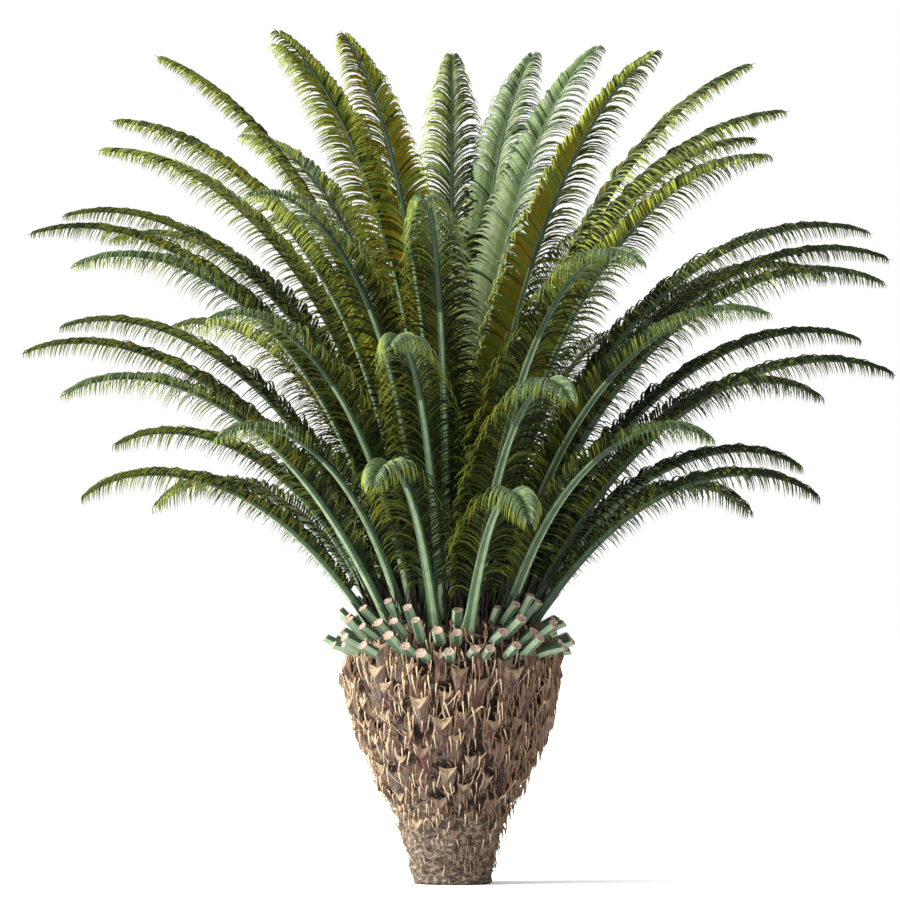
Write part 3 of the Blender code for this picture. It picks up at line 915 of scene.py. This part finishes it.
def make_body(materials, rng):
    """The trunk's body with its relief, closed at the foot and at the growing tip."""
    turn = np.broadcast_to(np.arange(BODY_COLUMNS) / BODY_COLUMNS, (BODY_ROWS, BODY_COLUMNS))
    level = np.linspace(0.0, 1.0, BODY_ROWS + 1)[:-1] * BODY_HIGHEST
    height = np.broadcast_to(level[:, None], (BODY_ROWS, BODY_COLUMNS))
    relief = body_relief(turn, height, rng)
    relief[0] = np.minimum(relief[0], 0.0)
    rings = round_place(turn * 360.0, trunk_radius(height) + relief, height)[None]
    tip = np.array([[0.0, 0.0, BODY_HIGHEST]])
    points, quads, ends, bases = pointed_units(rings, tip)
    number = body_numbers(turn[1:], height[1:], (relief[1:] + relief[:-1]) / 2.0, rng)
    return mesh_piece(
        "trunk_body", points, [(quads, number), (ends, CREVICE_SHADE), (bases, SHEATH)],
        materials, smooth=True)


def scale_shape():
    """Place across, depth and cut height of the corners round an old leaf base, front first."""
    front = np.linspace(-1.0, 1.0, SCALE_HALF)
    back = front[-2:0:-1]
    across = np.concatenate([front, back])
    keel = np.concatenate(
        [1.0 - np.abs(front) ** 1.8, -0.20 * (1.0 - np.abs(back))])
    notch = np.where(np.arange(len(across)) < SCALE_HALF, SCALE_KEEL_RISE, SCALE_BACK_RISE)
    top = notch + (SCALE_HORN_RISE - notch) * np.abs(across) ** SCALE_HORN_POWER
    return across, keel, top


def scale_rings(azimuth, height, rng):
    """Rings of corners of old leaf bases, from the foot of each to its cut top."""
    count = len(height)
    out, sideways, up = trunk_axes(azimuth, height)
    size = np.sqrt(trunk_radius(height) / SCALE_FULL_RADIUS) * rng.uniform(*SCALE_SIZES, count)
    size = size[:, None, None]
    place = trunk_place(azimuth, height) - out * rng.uniform(0.0, 0.009, count)[:, None]
    across, keel, top = scale_shape()
    lift = rng.uniform(0.7, 1.5, count)[:, None]
    rings = []
    for share in SCALE_RINGS:
        widened = SCALE_FOOT_WIDTH + (1.0 - SCALE_FOOT_WIDTH) * share ** 1.2
        wide = SCALE_HORN_APART / 2.0 * widened
        depth = SCALE_KEEL_DEPTH * share ** 0.6 + SCALE_LEAST_DEPTH
        stand = SCALE_HORN_OUT * share ** SCALE_HORN_POWER * lift - 0.003
        rise = -SCALE_FOOT_DROP + (top + SCALE_FOOT_DROP) * share
        rough = jitter(rng, SCALE_ROUGH, count, len(across), 3)
        ring = (place[:, None]
                + sideways[:, None] * (across * wide)[None, :, None] * size
                + out[:, None] * (keel * depth + stand)[..., None] * size
                + up[:, None] * rise[None, :, None] * size)
        rings.append(ring + rough)
    return np.stack(rings, axis=1)


def scale_cuts(count, sides):
    """Faces across the cut tops of old leaf bases: quads from front to back, a triangle a horn."""
    start = (np.arange(1, count + 1) * len(SCALE_RINGS) - 1)[:, None, None] * sides
    front = np.arange(1, SCALE_HALF - 2)
    back = sides - front
    quads = np.stack([front, front + 1, back - 1, back], axis=-1)
    horns = np.array(((0, 1, sides - 1), (SCALE_HALF - 2, SCALE_HALF - 1, SCALE_HALF)))
    return start + quads, start + horns


def make_scales(materials, rng):
    """Old leaf bases: keeled stubs, each cut at the top between two horns."""
    azimuth, height = scale_places()
    count = len(height)
    azimuth = azimuth + jitter(rng, 4.5, count)
    height = height + jitter(rng, 0.010, count)
    rings = scale_rings(azimuth, height, rng)
    points, quads, _, bases = blunt_units(rings)
    sides = rings.shape[2]
    cuts, horns = scale_cuts(count, sides)
    # Painted light and shade: on the lit left side more scales are grey with cream cut tops,
    # elsewhere red with darker cut tops
    painted_lit = rng.random(count) < lit_side_share(azimuth) + 0.1
    kind = np.where(painted_lit, rng.choice((BROWN, GREY), count), rng.choice((BROWN, RED), count))
    cut_number = np.where(painted_lit, CUT, EDGE)[:, None]
    edge = np.isin(np.arange(sides), (0, SCALE_HALF - 2, SCALE_HALF - 1, sides - 1))
    number = np.where(edge, EDGE, kind[:, None, None])
    number = np.broadcast_to(number, quads.shape[:3]).copy()
    foot = number[:, :SCALE_FOOT_SEGMENTS]
    browned = rng.random(count)[:, None, None] < SCALE_FOOT_BROWN
    number[:, :SCALE_FOOT_SEGMENTS] = np.where(browned, BROWN, foot)
    return mesh_piece(
        "leaf_scales", points,
        [(quads, number), (cuts, cut_number), (horns, cut_number), (bases, BROWN)], materials)


def clear_of_ribs(place, cloud):
    """Whether a place keeps its distance from the lower part of every rib."""
    return all(np.linalg.norm(points - place, axis=1).min() >= STALK_CLEARANCE
               for points in cloud)


def stalk_list(fronds):
    """Root, direction and length of each cut stalk that no frond's rib passes."""
    rng = random.Random(SEED)
    shares = np.arange(RIB_FOOT_STEPS) * RIB_FOOT_STEP
    cloud = [turned(rib_centres(frond, shares), frond.azimuth) for frond in fronds]
    stalks = []
    for row, (height, rise) in enumerate(STALK_ROWS):
        for column in range(STALKS_PER_ROW):
            azimuth = (column + row / len(STALK_ROWS)) * 360.0 / STALKS_PER_ROW
            azimuth += rng.uniform(-STALK_TURN_SPREAD, STALK_TURN_SPREAD)
            lift = math.radians(rise + rng.uniform(-STALK_RISE_SPREAD, STALK_RISE_SPREAD))
            length = STALK_LENGTH * rng.uniform(STALK_SHORTEST, 1.0)
            level = height + rng.uniform(-STALK_HEIGHT_SPREAD, STALK_HEIGHT_SPREAD)
            way = np.array((math.cos(lift), 0.0, math.sin(lift)))
            root = np.array((float(trunk_radius(level)), 0.0, level)) - way * STALK_SUNK
            ends = [turned(root + way * length * share, azimuth) for share in STALK_SHARES_TESTED]
            if all(clear_of_ribs(end, cloud) for end in ends):
                stalks.append((turned(root, azimuth), turned(way, azimuth), length))
    return stalks


def make_stalks(fronds, materials, rng):
    """Cut leaf stalks: ridged bars with a dished, fibrous cut at the end."""
    roots, ways, lengths = (np.array(part) for part in zip(*stalk_list(fronds)))
    count = len(roots)
    sag = rng.uniform(0.0, 0.022, count)[:, None] * STALK_STATIONS ** 2
    along = lengths[:, None] * STALK_STATIONS
    centres = roots[:, None] + ways[:, None] * along[..., None] + DOWN * sag[..., None]
    above = across_part(np.broadcast_to(-DOWN, ways.shape), ways)
    wide = np.cross(above, ways)
    section = round_section(STALK_SIDES, 0.10)
    radius = STALK_RADIUS * STALK_WIDTHS * rng.uniform(0.84, 1.08, count)[:, None]
    sideways = section[:, 0] * radius[..., None]
    upward = section[:, 1] * radius[..., None] * 0.86
    rings = (centres[:, :, None]
             + wide[:, None, None] * sideways[..., None]
             + above[:, None, None] * upward[..., None]
             + ways[:, None, None] * STALK_DISH[None, :, None, None])
    points, quads, ends, bases = blunt_units(rings)
    number = np.broadcast_to(stripes(STALK_SIDES), quads.shape[:3]).copy()
    number[:, STALK_CUT_FROM:] = STALK_CUT
    return mesh_piece(
        "cut_stalks", points, [(quads, number), (ends, STALK_CUT), (bases, 0)], materials)


def make_sockets(fronds, materials):
    """Living leaf bases: the ribs' feet, widening into the trunk."""
    centres = []
    normals = []
    widths = []
    for frond in fronds:
        forward, above = rib_axes(frond, np.zeros(1))
        foot = rib_centres(frond, np.zeros(1))
        back = SOCKET_LENGTH * SOCKET_STATIONS[:, None]
        centres.append(turned(foot - forward * back, frond.azimuth))
        normals.append(turned(np.repeat(above, len(SOCKET_STATIONS), axis=0), frond.azimuth))
        widths.append(frond.width * SOCKET_WIDTHS)
    rings = sweep(np.array(centres), np.array(normals), rib_section(), np.array(widths))
    points, quads, ends, bases = blunt_units(rings)
    # Painted shade on the right side, as on the ribs
    tone = rib_stripes(fronds, np.zeros(len(SOCKET_STATIONS) - 1))
    return mesh_piece(
        "leaf_bases", points, [(quads, tone), (ends, 0), (bases, 0)], materials, smooth=True)


# Fibre on the trunk

def strand_piece(name, paths, radii, numbers, materials, sides=4):
    """Pointed strands along paths as one piece, with a material for each stretch or strand."""
    numbers = np.broadcast_to(numbers, (len(paths), paths.shape[1] - 1))
    rings = sweep(paths, STRAND_SIDE, round_section(sides), radii)
    points, quads, ends, bases = pointed_units(rings[:, :-1], paths[:, -1])
    return mesh_piece(
        name, points,
        [(quads, numbers[:, :-1, None]), (ends, numbers[:, -1:]), (bases, numbers[:, 0])],
        materials)


def painted_light_tones(azimuth, rng):
    """Cream or buff for each strand, cream the more often the more painted light the trunk has
    there.
    """
    return np.where(rng.random(len(azimuth)) < lit_side_share(azimuth), CREAM, BUFF)[:, None]


def make_hooks(materials, rng):
    """Hooks of dry fibre that stand out of the trunk and hang down its side."""
    azimuth, height = spiral_places(HOOK_LOWEST, HOOK_HIGHEST, HOOK_PITCH)
    # Fewer hooks where the painted light is strongest, and near the foot
    lost = (0.5 * lit_side_share(azimuth) ** 2
            + 0.3 * (height < HOOK_FOOT_TOP))
    kept = rng.random(len(height)) > lost
    azimuth = azimuth[kept]
    height = height[kept]
    count = len(height)
    azimuth = azimuth + jitter(rng, 1.6, count)
    height = height + jitter(rng, 0.007, count)
    size = rng.uniform(0.65, 1.25, count)
    size = (size * (0.45 + 0.85 * height / BODY_HIGHEST))[:, None]
    out, sideways, _ = trunk_axes(azimuth, height)
    slant = rng.normal(0.0, 0.16, count)[:, None]
    along = np.linspace(0.0, 1.0, len(HOOK_OUT))
    arch = 4.0 * along * (1.0 - along)
    curve = rng.normal(0.0, 0.003, count)[:, None] * arch
    drift = slant * HOOK_DROP * size + curve
    paths = (trunk_place(azimuth, height)[:, None]
             + out[:, None] * (HOOK_OUT * size)[..., None]
             + DOWN * (HOOK_DROP * size)[..., None]
             + sideways[:, None] * drift[..., None])
    segments = np.arange(len(HOOK_OUT) - 1)
    numbers = np.where(segments < HOOK_HEAD_SEGMENTS, HEAD, painted_light_tones(azimuth, rng))
    return strand_piece("hooks", paths, HOOK_RADIUS * size ** 0.5, numbers, materials)


def make_net(materials, rng):
    """Pale strands that run from the horns down the sides of the old leaf bases."""
    azimuth, height = scale_places()
    # Painted light: the pale strands gather on the lit left side
    painted_light_weight = lit_side_share(azimuth) ** 2 + 0.05
    pick = rng.choice(len(height), NET_STRANDS, p=painted_light_weight / painted_light_weight.sum())
    side = rng.choice((-1.0, 1.0), NET_STRANDS)[:, None]
    azimuth = azimuth[pick][:, None]
    height = height[pick][:, None]
    size = np.sqrt(trunk_radius(height) / SCALE_FULL_RADIUS)
    along = np.linspace(0.0, 1.0, NET_POINTS)
    lean = rng.normal(0.0, 0.35, (NET_STRANDS, 1)) - side * 0.30
    length = rng.uniform(0.04, 0.11, (NET_STRANDS, 1))
    swing = rng.normal(0.0, 0.005, (NET_STRANDS, 1))
    wave = swing * np.sin(along * rng.uniform(3, 8, (NET_STRANDS, 1)))
    sideways = side * SCALE_HORN_APART / 2.0 * size + lean * length * along + wave
    drop = length * along - SCALE_HORN_RISE * size * 0.9
    stand = SCALE_HORN_OUT * size * (1.0 - along) ** 1.5 + 0.006
    stand = stand + rng.normal(0.0, 0.003, (NET_STRANDS, NET_POINTS))
    level = np.clip(height - drop, 0.01, None)
    turn = azimuth + np.degrees(sideways / trunk_radius(level))
    out, _, _ = trunk_axes(turn, level)
    paths = trunk_place(turn, level) + out * stand[..., None]
    radii = rng.uniform(0.0009, 0.0018, (NET_STRANDS, 1)) * (1.0 - 0.7 * along)
    tone = rng.choice((CREAM, CREAM, CREAM, BUFF), (NET_STRANDS, 1))
    return strand_piece("fibre_net", paths, radii, tone, materials)


def make_hairs(materials, rng):
    """Fine stray fibres all over the trunk."""
    azimuth = rng.uniform(0.0, 360.0, HAIRS)
    low = rng.random(HAIRS) < 0.75
    low_height = rng.uniform(0.02, 0.66, HAIRS)
    height = np.where(low, low_height, rng.uniform(0.66, 0.80, HAIRS))
    out, sideways, up = trunk_axes(azimuth, height)
    way = unit(out * rng.uniform(0.3, 1.0, HAIRS)[:, None]
               + sideways * rng.normal(0.0, 0.7, HAIRS)[:, None]
               + up * rng.normal(-0.2, 0.6, HAIRS)[:, None])
    length = rng.uniform(0.010, 0.034, HAIRS)[:, None]
    along = np.linspace(0.0, 1.0, HAIR_POINTS)
    paths = (trunk_place(azimuth, height)[:, None]
             + way[:, None] * (along * length)[..., None]
             + DOWN * (along ** 2 * length * 0.5)[..., None])
    paths[..., 2] = np.maximum(paths[..., 2], 0.002)
    radii = rng.uniform(0.0004, 0.0008, HAIRS)[:, None] * (1.0 - 0.5 * along)
    return strand_piece(
        "stray_fibres", paths, radii, painted_light_tones(azimuth, rng), materials, sides=3)


def make_heart(materials, rng):
    """Dark fibre that stands up between the living leaf bases on the trunk's shoulder."""
    azimuth = rng.uniform(0.0, 360.0, HEART_STRANDS)
    radius = HEART_RADIUS * np.sqrt(rng.uniform(0.04, 1.0, HEART_STRANDS))
    radii, heights = np.array(TRUNK_OUTLINE[:SHOULDER_ROWS]).T
    root = round_place(azimuth, radius, np.interp(radius, radii, heights) - 0.02)
    way = round_place(azimuth, radius * 1.2, np.ones(HEART_STRANDS))
    way[:, 0] += rng.normal(0.0, HEART_LEAN_SPREAD, HEART_STRANDS)
    way[:, 1] += rng.normal(0.0, HEART_LEAN_SPREAD, HEART_STRANDS)
    length = rng.uniform(0.06, 0.20, HEART_STRANDS)[:, None]
    along = np.linspace(0.0, 1.0, HEART_POINTS)
    paths = root[:, None] + unit(way)[:, None] * (along * length)[..., None]
    paths += rng.normal(0.0, 0.004, paths.shape) * along[:, None]
    radii = rng.uniform(0.0022, 0.0055, HEART_STRANDS)[:, None] * (1.0 - 0.6 * along)
    tone = rng.choice((0, 0, 1), HEART_STRANDS)[:, None]
    return strand_piece("heart_fibres", paths, radii, tone, materials)


def make_trunk(fronds, looks):
    """Every piece of the trunk."""
    rng = np.random.default_rng(SEED)
    pieces = [
        make_body(picked(looks, BODY_LOOKS), rng),
        make_scales(picked(looks, SCALE_LOOKS), rng),
        make_stalks(fronds, picked(looks, STALK_LOOKS), rng),
        make_sockets(fronds, picked(looks, RIB_LOOKS)),
        make_hooks(picked(looks, HOOK_LOOKS), rng),
        make_net(picked(looks, FIBRE_LOOKS), rng),
        make_hairs(picked(looks, FIBRE_LOOKS), rng),
        make_heart(picked(looks, HEART_LOOKS), rng),
    ]
    for piece in pieces:
        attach(piece, "root")
        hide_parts("trunk")


# Stage

def make_stage():
    """Pale floor, soft light and the camera."""
    scene = bpy.context.scene
    bpy.ops.mesh.primitive_plane_add(size=60.0, location=(0.0, 0.0, 0.0))
    floor = bpy.context.object
    floor.name = "floor"
    floor.data.materials.append(plain_material("floor", (0.97, 0.97, 0.97, 1.0), roughness=0.9))
    world = bpy.data.worlds.new("studio")
    world.use_nodes = True
    background = world.node_tree.nodes["Background"]
    background.inputs["Color"].default_value = (1.0, 1.0, 1.0, 1.0)
    background.inputs["Strength"].default_value = 1.0
    scene.world = world
    key = bpy.data.lights.new("key", "SUN")
    key.energy = 14.0
    key.color = (1.0, 0.96, 0.90)
    key.angle = math.radians(50.0)
    key_object = bpy.data.objects.new("key", key)
    key_object.rotation_euler = Vector(KEY_FROM).to_track_quat("Z", "Y").to_euler()
    scene.collection.objects.link(key_object)
    camera = bpy.data.cameras.new("camera")
    camera.lens = CAMERA_LENS
    camera.clip_end = 200.0
    camera_object = bpy.data.objects.new("camera", camera)
    camera_object.location = CAMERA_PLACE
    camera_object.rotation_euler = (math.radians(90.0), 0.0, 0.0)
    scene.collection.objects.link(camera_object)
    scene.camera = camera_object
    scene.view_settings.view_transform = "Standard"


def main():
    """Dress the frame."""
    tiers = {tier: list_fronds(tier) for tier in TIERS}
    fronds = [frond for group in tiers.values() for frond in group]
    looks = make_looks()
    leaf_tones = leaf_materials()
    cloud = rib_cloud(tiers)
    rng = np.random.default_rng(SEED)
    for tier, group in tiers.items():
        make_ribs(tier, group, picked(looks, RIB_LOOKS))
        make_leaflets(tier, group, cloud, leaf_tones, rng)
    make_trunk(fronds, looks)
    make_stage()


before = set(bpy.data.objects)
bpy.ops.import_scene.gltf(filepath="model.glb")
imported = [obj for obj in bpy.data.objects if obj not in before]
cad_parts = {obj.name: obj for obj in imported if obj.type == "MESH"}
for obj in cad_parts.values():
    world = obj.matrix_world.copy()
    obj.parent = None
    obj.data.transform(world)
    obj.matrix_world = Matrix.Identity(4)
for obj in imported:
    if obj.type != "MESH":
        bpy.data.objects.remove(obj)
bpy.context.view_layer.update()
main()
